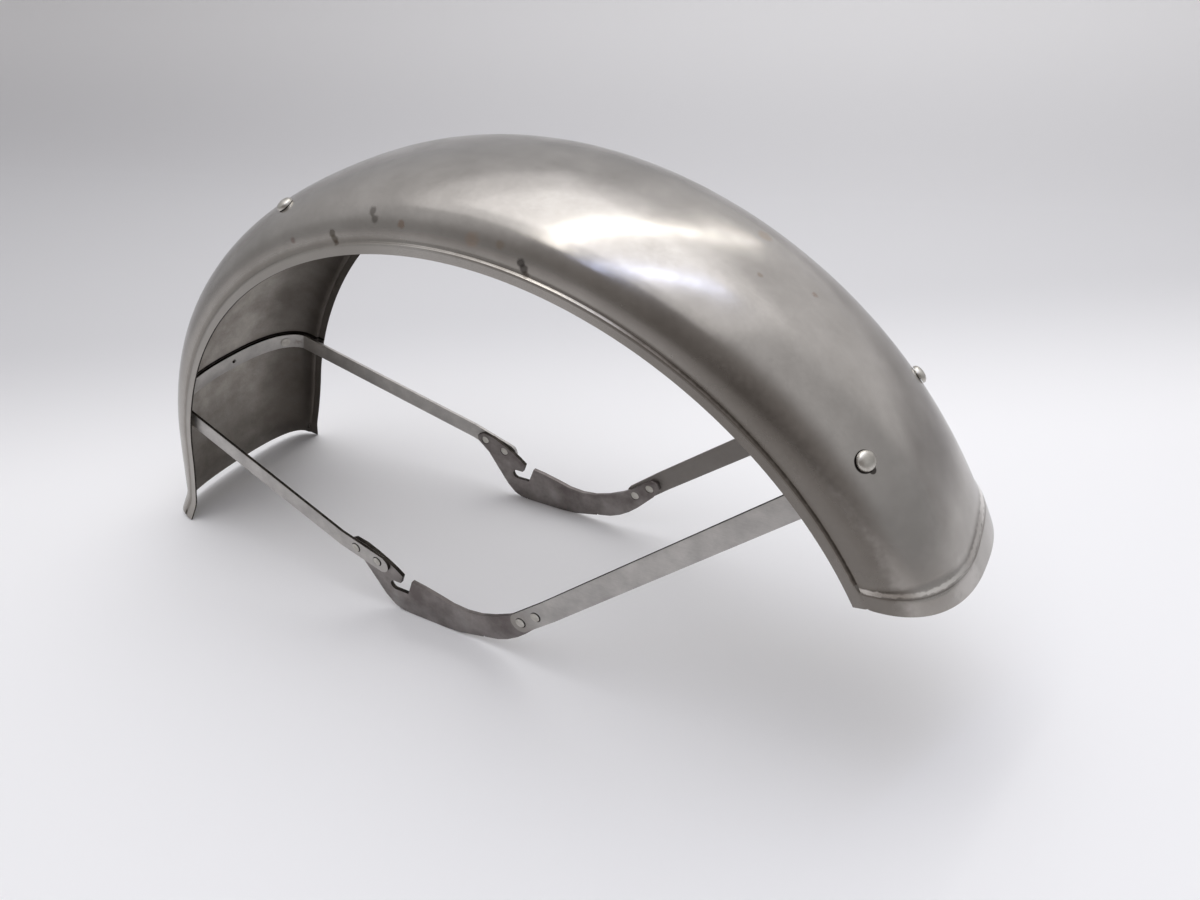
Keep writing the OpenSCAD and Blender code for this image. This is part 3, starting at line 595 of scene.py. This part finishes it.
# the stays: a strip bent along a planar loop from one plate to the other
plateSizes = {  # millimetres and degrees; ahead of rubbedAhead the edges are rubbed clean
    "thickness": 3.0, "span": 163.4, "edge": 0.3, "edgeAngle": 50, "rubbedAhead": -45}
staySizes = {
    "rear": {"width": 14.3, "slope": 18.6, "passOver": 22.0, "direction": -1,
             "joints": (-105.5, -86.5), "endPast": 10.5, "node": "rear_stay"},
    "front": {"width": 15.8, "slope": 39.0, "passOver": 10.0, "direction": 1,
              "joints": (40.7, 54.0), "endPast": 7.9, "node": "front_stay"}}
stripThickness = 2.5
bandGap = 0.3  # between the sheet and the band at its tightest edge
straightPast = 14  # how far a leg runs straight past its last joint
bandTurns = range(-76, 1, 2)  # degrees round the section, from the bend up to the crown
bandHole = {"radius": 1.9, "across": 4.0}
jointHole = {"radius": 3.85, "mouth": 4.0, "chamfer": 0.2, "forward": 0.75, "up": 0.65}
cutter = {  # how far the cutting solids reach, in millimetres
    "spare": 1, "through": 6, "before": 4, "span": 100, "steps": 96, "blockSpan": 190}
legZone = 70  # further across than this lie only the legs
legAcross = plateSizes["span"] / 2 + stripThickness / 2


def legFrame(stay):
    s = bladeSizes
    mirror = Matrix.Diagonal((stay["direction"], 1, 1, 1))
    return (Matrix.Translation(Vector((s["Wheel centre X"], 0, s["Wheel centre Z"])) * mm) @ mirror
            @ Matrix.Rotation(math.radians(-stay["slope"]), 4, "Y")
            @ Matrix.Translation((0, 0, stay["passOver"] * mm)))


def bandAngle(stay):
    lift = math.degrees(math.asin(stay["passOver"] / bladeSizes["Crown radius"]))
    return stay["slope"] + lift if stay["direction"] > 0 else 180 - stay["slope"] - lift


def alongLeg(x, stay):
    slope = math.radians(stay["slope"])
    return x * stay["direction"] / math.cos(slope) + stay["passOver"] * math.tan(slope)


def holeShift(stay):
    # the joint holes' offset from their rivets, in the strip's own frame
    slope = math.radians(stay["slope"])
    forward, up = jointHole["forward"] * stay["direction"], jointHole["up"]
    return (forward * math.cos(slope) + up * math.sin(slope),
            up * math.cos(slope) - forward * math.sin(slope))


def stayPath(stay):
    # half the loop from the free end to the crown, then its mirror image
    angle = bandAngle(stay)
    deep = sheetThickness + bandGap + stripThickness / 2
    top = stay["passOver"] + stay["width"] / 2
    joints = [alongLeg(x, stay) for x in stay["joints"]]
    half = [(min(joints) - stay["endPast"], -legAcross), (max(joints) + straightPast, -legAcross)]
    for turn in bandTurns:
        here = skinPoint(turn, angle)
        tangent = skinPoint(turn + skinProbe, angle) - skinPoint(turn - skinProbe, angle)
        outward = Vector((-tangent.y, tangent.x)).normalized()
        inner = here - outward * deep
        half.append((math.sqrt(inner.y ** 2 - top ** 2), inner.x))
    return half + [(a, -b) for a, b in reversed(half[:-1])]


stripSizes = {"Width": 14.3, "Thickness": stripThickness, "Edge radius": 0.45, "Bend radius": 9.0}
tree, entry, staySockets = startTree("bent strip", stripSizes)
line = addNode(tree, "GeometryNodeMeshToCurve", None, {0: entry.outputs["Geometry"]})
metres = {}
for label in stripSizes:
    metres[label] = addNode(tree, "ShaderNodeMath", {"operation": "MULTIPLY"}, {
        0: entry.outputs[label], 1: mm})
bent = addNode(tree, "GeometryNodeFilletCurve", {"mode": "POLY"}, {
    "Curve": line, "Radius": metres["Bend radius"], "Count": 4, "Limit Radius": True})
upright = addNode(tree, "GeometryNodeSetCurveNormal", {"mode": "Z_UP"}, {"Curve": bent})
section = addNode(tree, "GeometryNodeCurvePrimitiveQuadrilateral", None, {
    "Width": metres["Thickness"], "Height": metres["Width"]})
rounded = addNode(tree, "GeometryNodeFilletCurve", {"mode": "POLY"}, {
    "Curve": section, "Radius": metres["Edge radius"], "Count": 3})
strip = addNode(tree, "GeometryNodeCurveToMesh", None, {
    "Curve": upright, "Profile Curve": rounded, "Fill Caps": True})
endTree(tree, strip, brushedStrip)


def addTurned(name, profile, place, steps=40):
    # a revolved solid; profile is (radius, height) in millimetres from axis to axis
    mesh = bpy.data.meshes.new(name)
    work = bmesh.new()
    rings = []
    for radius, height in profile:
        turns = [2 * math.pi * k / steps for k in range(steps if radius else 1)]
        rings.append([work.verts.new((
            radius * mm * math.cos(t), radius * mm * math.sin(t), height * mm)) for t in turns])
    for lower, upper in zip(rings, rings[1:]):
        for k in range(steps):
            j = (k + 1) % steps
            corners = [lower[k % len(lower)], lower[j % len(lower)],
                       upper[j % len(upper)], upper[k % len(upper)]]
            work.faces.new(list(dict.fromkeys(corners)))
    bmesh.ops.recalc_face_normals(work, faces=work.faces)
    work.transform(place)
    work.to_mesh(mesh)
    work.free()
    return addObject(name, mesh)


def joinMeshes(things, name):
    work = bmesh.new()
    for thing in things:
        work.from_mesh(thing.data)
        bpy.data.objects.remove(thing)
    mesh = bpy.data.meshes.new(name)
    work.to_mesh(mesh)
    work.free()
    return addObject(name, mesh)


def cutAway(piece, tool):
    cut = piece.modifiers.new("cut", "BOOLEAN")
    cut.operation = "DIFFERENCE"
    cut.solver = "EXACT"
    cut.object = tool
    name = piece.name
    piece = settle(piece, name)
    bpy.data.objects.remove(tool)
    return piece


for label, stay in staySizes.items():
    path = stayPath(stay)
    host = bpy.data.meshes.new("stayPath")
    points = [(a * mm, b * mm, 0) for a, b in path]
    host.from_pydata(points, [(i, i + 1) for i in range(len(points) - 1)], [])
    host = addObject("stayPath", host)
    piece = grow(tree, staySockets, {"Width": stay["width"]}, host, label + "Stay")
    # round free ends: what lies outside a disc as wide as the strip is cut off both legs
    start = path[0][0]
    radius = stay["width"] / 2
    span = cutter["span"]
    acrossLegs = Matrix.Rotation(math.pi / 2, 4, "X")
    discPlace = Matrix.Translation(((start + radius) * mm, 0, 0)) @ acrossLegs
    disc = addTurned("endDisc", [(0, -span), (radius, -span), (radius, span), (0, span)],
                     discPlace, cutter["steps"])
    corner = bpy.data.meshes.new("endBlock")
    work = bmesh.new()
    bmesh.ops.create_cube(work, size=1)
    # from before the strip's end to the disc's middle, a little wider than the strip
    before = cutter["before"]
    blockPlace = Matrix.Translation(((start + radius / 2 - before / 2) * mm, 0, 0))
    blockSize = Matrix.Diagonal((
        (radius + before) * mm, cutter["blockSpan"] * mm, radius * 2.4 * mm, 1))
    bmesh.ops.transform(work, verts=work.verts, matrix=blockPlace @ blockSize)
    work.to_mesh(corner)
    work.free()
    corners = cutAway(addObject("endBlock", corner), disc)
    piece = cutAway(piece, corners)
    cutters = []
    seat, mouth, chamfer = jointHole["radius"], jointHole["mouth"], jointHole["chamfer"]
    half = stripThickness / 2
    spare, through = cutter["spare"], cutter["through"]
    holeProfile = [(0, -half - spare), (mouth + spare, -half - spare), (mouth, -half),
                   (seat, -half + chamfer), (seat, half - chamfer),
                   (mouth, half), (mouth + spare, half + spare), (0, half + spare)]
    shiftX, shiftZ = holeShift(stay)
    for x in stay["joints"]:
        for side in (-1, 1):
            place = Matrix.Translation(((alongLeg(x, stay) + shiftX) * mm,
                                        side * legAcross * mm, shiftZ * mm))
            cutters.append(addTurned("hole", holeProfile, place @ acrossLegs))
    if label == "rear":
        crownPlace = Matrix.Translation((path[len(path) // 2][0] * mm, bandHole["across"] * mm, 0))
        size = bandHole["radius"]
        pin = [(0, -through), (size, -through), (size, through), (0, through)]
        cutters.append(addTurned("hole", pin, crownPlace @ Matrix.Rotation(math.pi / 2, 4, "Y")))
    piece = cutAway(piece, joinMeshes(cutters, "holes"))
    # narrow sheared edges get the edge steel, but for the left leg, which is rubbed clean
    piece.data.materials.append(shearedEdge)
    for face in piece.data.polygons:
        across = face.center.y / mm
        onEnd = face.center.x / mm < start + radius + 0.5 and abs(face.normal.y) < 0.5
        inHole = abs(across) > legZone and abs(face.normal.y) < 0.9 and any(
            math.hypot(face.center.x / mm - alongLeg(x, stay) - shiftX,
                       face.center.z / mm - shiftZ) < jointHole["mouth"] - 0.05
            for x in stay["joints"])
        if inHole or (across < legZone and (abs(face.normal.z) > 0.8 or onEnd)):
            face.material_index = 1
    piece.data.transform(legFrame(stay))
    if stay["direction"] < 0:
        piece.data.flip_normals()
    piece.data.update()
    softShade(piece, 38)
    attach(piece, "root")
    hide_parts(stay["node"])
    print(piece.name, len(piece.data.polygons), "faces")


def easeNode(node, name):
    # hooked plates: the solids' own outline with its edges eased
    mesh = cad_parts[node].data.copy()
    work = bmesh.new()
    work.from_mesh(mesh)
    bmesh.ops.remove_doubles(work, verts=work.verts, dist=0.002 * mm)
    bmesh.ops.dissolve_limit(work, angle_limit=math.radians(1), verts=work.verts, edges=work.edges)
    work.to_mesh(mesh)
    work.free()
    mesh.materials.clear()
    mesh.materials.append(scaledPlate)
    mesh.materials.append(shearedEdge)
    for face in mesh.polygons:
        rubbed = face.center.x > plateSizes["rubbedAhead"] * mm
        face.material_index = 0 if abs(face.normal.y) > 0.8 or rubbed else 1
    piece = addObject(name, mesh)
    eased = piece.modifiers.new("eased", "BEVEL")
    eased.width = plateSizes["edge"] * mm
    eased.segments = 2
    eased.limit_method = "ANGLE"
    eased.angle_limit = math.radians(plateSizes["edgeAngle"])
    piece = settle(piece, name)
    softShade(piece, 40)
    return piece


for side in ("right", "left"):
    plate = easeNode(side + "_hook_plate", side + "HookPlate")
    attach(plate, "root")
    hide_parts(side + "_hook_plate")
print("plates eased")


# rivets, set on points that carry each one's turn
rivetSizes = {"Head diameter": 11.4, "Head height": 3.6, "Lift": 0.25, "Shank diameter": 6.0,
              "Grip": 4.6, "Tail diameter": 9.0, "Tail height": 1.2, "Squareness": 0.75}
tree, entry, rivetSockets = startTree("rivets", rivetSizes)


def addHead(tree, diameter, height, level, sign):
    # a ball with its lower half pressed flat
    ball = addNode(tree, "GeometryNodeMeshUVSphere", None, {
        "Segments": 40, "Rings": 24, "Radius": 1.0})
    at = addNode(tree, "ShaderNodeSeparateXYZ", None, {
        0: addNode(tree, "GeometryNodeInputPosition")})
    known = {"x": at.outputs[0], "y": at.outputs[1], "z": at.outputs[2], "diameter": diameter,
             "height": height, "level": level, "square": entry.outputs["Squareness"]}
    followRule(tree, "ShaderNodeMath", known, [
        ("flatZ", "MAXIMUM", "z", 0.0),
        ("fullZ", "POWER", "flatZ", "square"),
        ("tall", "MULTIPLY", "fullZ", "height"),
        ("signed", "MULTIPLY_ADD", "tall", sign, "level"),
        ("outZ", "MULTIPLY", "signed", mm),
        ("radius", "MULTIPLY", "diameter", mm / 2),
        ("outX", "MULTIPLY", "x", "radius"),
        ("sideY", "MULTIPLY", "y", sign),
        ("outY", "MULTIPLY", "sideY", "radius"),
    ])
    return addNode(tree, "GeometryNodeSetPosition", None, {
        "Geometry": ball,
        "Position": addNode(tree, "ShaderNodeCombineXYZ", None, {
            0: known["outX"], 1: known["outY"], 2: known["outZ"]})}).outputs[0]


known = {label: entry.outputs[label] for label in rivetSizes}
followRule(tree, "ShaderNodeMath", known, [
    ("tailLevel", "MULTIPLY", "Grip", -1.0),
    ("length", "ADD", "Grip", "Lift"),
    ("middle", "SUBTRACT", "Lift", "Grip"),
    ("shankLength", "MULTIPLY", "length", mm),
    ("shankMiddle", "MULTIPLY", "middle", mm / 2),
    ("shankRadius", "MULTIPLY", "Shank diameter", mm / 2),
])
shank = addNode(tree, "GeometryNodeMeshCylinder", None, {
    "Vertices": 32, "Radius": known["shankRadius"], "Depth": known["shankLength"]})
shankPlaced = addNode(tree, "GeometryNodeTransform", None, {
    "Geometry": shank,
    "Translation": addNode(tree, "ShaderNodeCombineXYZ", None, {2: known["shankMiddle"]})})
whole = addNode(tree, "GeometryNodeJoinGeometry")
for part in (addHead(tree, known["Head diameter"], known["Head height"], known["Lift"], 1.0),
             addHead(tree, known["Tail diameter"], known["Tail height"], known["tailLevel"], -1.0),
             shankPlaced.outputs[0]):
    tree.links.new(part, whole.inputs[0])
turned = addNode(tree, "GeometryNodeInputNamedAttribute", {
    "data_type": "FLOAT_VECTOR"}, {"Name": "turn"})
placed = addNode(tree, "GeometryNodeInstanceOnPoints", None, {
    "Points": entry.outputs["Geometry"], "Instance": whole, "Rotation": turned})
endTree(tree, placed, headedRivet)


def addRivets(name, seats, sizes, nodes):
    mesh = bpy.data.meshes.new(name + "Points")
    mesh.from_pydata([seat.translation for seat in seats], [], [])
    turn = mesh.attributes.new("turn", "FLOAT_VECTOR", "POINT")
    for i, seat in enumerate(seats):
        turn.data[i].vector = seat.to_euler("XYZ")
    piece = grow(tree, rivetSockets, sizes, addObject(name + "Points", mesh), name)
    softShade(piece, 35)
    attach(piece, "root")
    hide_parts(*nodes)


rivetPlaces = {  # millimetres off the middle and back along the crown, degrees round the wheel
    "frontAcross": 49.5, "frontBack": 2.4, "crownAcross": 50, "crownAngle": 113.5, "rearAcross": 57}
flatRivet = {"Head diameter": 8.4, "Head height": 0.6, "Shank diameter": 5.0,
             "Tail diameter": 8.4, "Tail height": 0.6, "Squareness": 0.5}
flushRivet = {"Head diameter": 6.9, "Head height": 0.2, "Lift": -0.05, "Shank diameter": 6.9,
              "Tail diameter": 6.9, "Tail height": 0.2, "Squareness": 0.5}
bandGrip = sheetThickness + bandGap + stripThickness
rivetSlack = {"front": 0.6, "crown": 0.2, "rear": 0.9, "joint": -0.5}  # the tails' stand-off
frontBack = math.degrees(rivetPlaces["frontBack"] / bladeSizes["Crown radius"])
frontTurn = -math.degrees(math.asin(staySizes["front"]["passOver"] / bladeSizes["Crown radius"]))
rearTurn = math.degrees(math.asin(staySizes["rear"]["passOver"] / bladeSizes["Crown radius"]))
bothSides = (("right", -1), ("left", 1))
frontAngle, rearAngle = bandAngle(staySizes["front"]) + frontBack, bandAngle(staySizes["rear"])
addRivets("frontBandRivets",
          [skinSeat(s * rivetPlaces["frontAcross"], frontAngle, frontTurn) for _, s in bothSides],
          {"Grip": bandGrip + rivetSlack["front"]},
          [n + "_front_band_rivet" for n, _ in bothSides])
addRivets("crownRivets",
          [skinSeat(s * rivetPlaces["crownAcross"], rivetPlaces["crownAngle"])
           for _, s in bothSides],
          {"Grip": sheetThickness + rivetSlack["crown"]},
          [n + "_crown_rivet" for n, _ in bothSides])
addRivets("rearBandRivets",
          [skinSeat(s * rivetPlaces["rearAcross"], rearAngle, rearTurn) for _, s in bothSides],
          {**flatRivet, "Grip": bandGrip + rivetSlack["rear"]},
          [n + "_rear_band_rivet" for n, _ in bothSides])
jointSeats, jointNodes = [], []
tilts = (0.03, -0.035, 0.04, -0.02, 0.035, -0.03, 0.02, 0.04)  # radians: no head lies quite true
for label, stay in staySizes.items():
    ends = ("outer", "inner") if label == "rear" else ("inner", "outer")
    for x, end in zip(stay["joints"], ends):
        for side, sign in bothSides:
            tilt = tilts[len(jointSeats)]
            outside = sign * (legAcross + stripThickness / 2)
            local = Matrix.Translation((alongLeg(x, stay) * mm, outside * mm, 0))
            local = local @ Matrix.Rotation(-sign * math.pi / 2 + tilt, 4, "X")
            seat = legFrame(stay) @ (local @ Matrix.Rotation(tilt, 4, "Y"))
            turn = seat.to_3x3()
            if turn.determinant() < 0:  # a mirrored leg still gets a plain turned rivet
                turn = turn @ Matrix.Diagonal((-1, 1, 1))
            jointSeats.append(Matrix.Translation(seat.translation) @ turn.to_4x4())
            jointNodes.append(f"{side}_{label}_joint_rivet_{end}")
jointGrip = stripThickness + plateSizes["thickness"] + rivetSlack["joint"]
addRivets("jointRivets", jointSeats, {**flushRivet, "Grip": jointGrip}, jointNodes)
print("rivets set")


# floor and backdrop
stageLook = {  # metres from the middle towards the tent's open side, and metres up
    "heading": (0.536, -0.844), "floor": "#f2f2f3", "shade": "#e4e2e1", "shadeFrom": (0.33, 0.7),
    "wallFrom": (-0.12, -0.5), "wallLow": "#d4d4d6", "wallHigh": "#ececed", "wallRise": (0.0, 0.24)}


def makeStage(name, look):
    # matt sheeting: a plain pale diffuser, with painted shade that makes it greyer towards the
    # tent's open side and on the low wall
    material = bpy.data.materials.new(name)
    material.use_nodes = True
    tree = material.node_tree
    tree.nodes.clear()
    place = addNode(tree, "ShaderNodeSeparateXYZ", None, {
        0: addNode(tree, "ShaderNodeTexCoord").outputs["Object"]})
    known = followRule(tree, "ShaderNodeMath", {"x": place.outputs[0], "y": place.outputs[1]}, [
        ("xPart", "MULTIPLY", "x", look["heading"][0]),
        ("near", "MULTIPLY_ADD", "y", look["heading"][1], "xPart"),
    ])
    # painted shade: the floor greyer towards the tent's open side
    shaded = addNode(tree, "ShaderNodeMapRange", {"interpolation_type": "SMOOTHSTEP"}, {
        "Value": known["near"], "From Min": look["shadeFrom"][0], "From Max": look["shadeFrom"][1]})
    far = addNode(tree, "ShaderNodeMapRange", {"interpolation_type": "SMOOTHSTEP"}, {
        "Value": known["near"], "From Min": look["wallFrom"][0], "From Max": look["wallFrom"][1]})
    tint = addNode(tree, "ShaderNodeMix", {"data_type": "RGBA"}, {
        "Factor": shaded, "A": toLinear(look["floor"]), "B": toLinear(look["shade"])})
    # painted shade: the wall greyer low down than at its top
    up = addNode(tree, "ShaderNodeMapRange", {"interpolation_type": "SMOOTHSTEP"}, {
        "Value": place.outputs[2],
        "From Min": look["wallRise"][0], "From Max": look["wallRise"][1]})
    wallTint = addNode(tree, "ShaderNodeMix", {"data_type": "RGBA"}, {
        "Factor": up, "A": toLinear(look["wallLow"]), "B": toLinear(look["wallHigh"])})
    tint = addNode(tree, "ShaderNodeMix", {"data_type": "RGBA"}, {
        "Factor": far, "A": tint.outputs["Result"], "B": wallTint.outputs["Result"]})
    surface = addNode(tree, "ShaderNodeBsdfPrincipled", None, {
        "Base Color": tint.outputs["Result"], "Roughness": 0.9, "Specular IOR Level": 0.1})
    addNode(tree, "ShaderNodeOutputMaterial", None, {"Surface": surface})
    return material


backdropSizes = {  # metres and degrees
    "foot": 1.3, "curve": 0.4, "curveSteps": 16, "height": 0.5,
    "front": -2.6, "halfWidth": 3.2, "turn": 14}
foot, curve, wide = (backdropSizes[label] for label in ("foot", "curve", "halfWidth"))
profile = [(backdropSizes["front"], 0.0)]
for i in range(backdropSizes["curveSteps"] + 1):
    t = math.pi / 2 * i / backdropSizes["curveSteps"]
    profile.append((foot - curve + curve * math.sin(t), curve * (1 - math.cos(t))))
profile.append((foot, backdropSizes["height"]))
points = [(x, y, z + lowestFloor) for y, z in profile for x in (-wide, wide)]
faces = [(2 * i, 2 * i + 1, 2 * i + 3, 2 * i + 2) for i in range(len(profile) - 1)]
mesh = bpy.data.meshes.new("floor")
mesh.from_pydata(points, [], faces)
floor = addObject("floor", mesh)
softShade(floor, 60)
floor.data.materials.append(makeStage("matt white sheeting", stageLook))
floor.data.transform(Matrix.Rotation(math.radians(backdropSizes["turn"]), 4, "Z"))

# the tent's inside as the steel sees it: the ceiling bright, the walls greyer, one side open
# and dark, the upper back wall the brightest; seen straight on it is one plain pale grey
tentLook = {
    "wall": "#b4b4b6", "ceiling": "#dcdbdd", "rise": (0.05, 0.75), "shown": "#cfcfd1",
    "opening": "#8f8a88", "openingTowards": (0.25, -0.92, 0.3), "openingFade": (0.5, 0.95),
    "glow": "#f2f1f3", "glowTowards": (0.3, 0.88, 0.37), "glowFade": (0.8, 0.97)}
world = bpy.data.worlds.new("tent")
scene.world = world
world.use_nodes = True
tree = world.node_tree
tree.nodes.clear()
towards = addNode(tree, "ShaderNodeTexCoord").outputs["Generated"]
split = addNode(tree, "ShaderNodeSeparateXYZ", None, {0: towards})
height = addNode(tree, "ShaderNodeMapRange", {"interpolation_type": "SMOOTHSTEP"}, {
    "Value": split.outputs[2], "From Min": tentLook["rise"][0], "From Max": tentLook["rise"][1]})
tone = addNode(tree, "ShaderNodeMix", {"data_type": "RGBA"}, {
    "Factor": height,
    "A": toLinear(tentLook["wall"]), "B": toLinear(tentLook["ceiling"])}).outputs["Result"]
for side in ("opening", "glow"):
    facing = addNode(tree, "ShaderNodeVectorMath", {"operation": "DOT_PRODUCT"}, {
        0: towards, 1: tentLook[side + "Towards"]})
    share = addNode(tree, "ShaderNodeMapRange", {"interpolation_type": "SMOOTHSTEP"}, {
        "Value": facing.outputs["Value"],
        "From Min": tentLook[side + "Fade"][0], "From Max": tentLook[side + "Fade"][1]})
    tone = addNode(tree, "ShaderNodeMix", {"data_type": "RGBA"}, {
        "Factor": share, "A": tone, "B": toLinear(tentLook[side])}).outputs["Result"]
shown = addNode(tree, "ShaderNodeMix", {"data_type": "RGBA"}, {
    "Factor": addNode(tree, "ShaderNodeLightPath").outputs["Is Camera Ray"],
    "A": tone, "B": toLinear(tentLook["shown"])}).outputs["Result"]
light = addNode(tree, "ShaderNodeBackground", None, {"Color": shown, "Strength": 1.0})
addNode(tree, "ShaderNodeOutputWorld", None, {"Surface": light})

# two strip lamps along the roof, the second cooler and weaker, under a broad panel that fades
# outwards; all are flat, face straight down and are turned about the vertical
lamps = {  # place in metres, turn in degrees, size in metres, watts and tint
    "roofStrip": ((0.1, 0.55, 1.1), -11, (0.05, 2.5), 2.4, "#fffdf8"),
    "roofStripCool": ((0.25, -0.22, 1.1), -22, (0.035, 1.4), 0.9, "#c6d4ff"),
    "roofPanel": ((0.02, 0.28, 1.35), -11, (1.8, 2.0), 5.6, "#fdfdff"),
    "roofPanelMiddle": ((0.02, 0.28, 1.36), -11, (1.05, 1.25), 3.0, "#fdfdff")}
for name, (place, turn, size, power, tint) in lamps.items():
    data = bpy.data.lights.new(name, "AREA")
    data.shape = "RECTANGLE"
    data.size, data.size_y = size
    data.energy = power
    data.color = toLinear(tint)[:3]
    lamp = addObject(name, data)
    lamp.location = place
    lamp.rotation_euler = (0, 0, math.radians(turn))

cameraView = {  # its axes and place in the part's frame, then millimetres
    "right": (0.86177, 0.50422, -0.05573), "up": (-0.23606, 0.49582, 0.83572),
    "back": (0.44902, -0.70705, 0.54631), "place": (0.366514, -0.4556, 0.48592),
    "sensor": 36.0, "lens": 28.555}
camera = addObject("camera", bpy.data.cameras.new("camera"))
turn = Matrix([cameraView[axis] for axis in ("right", "up", "back")]).transposed().to_4x4()
camera.matrix_world = Matrix.Translation(cameraView["place"]) @ turn
camera.data.sensor_fit = "HORIZONTAL"
camera.data.sensor_width = cameraView["sensor"]
camera.data.lens = cameraView["lens"]
camera.data.clip_start = 0.01
scene.camera = camera
scene.view_settings.view_transform = "Standard"
print("stage and lights set")
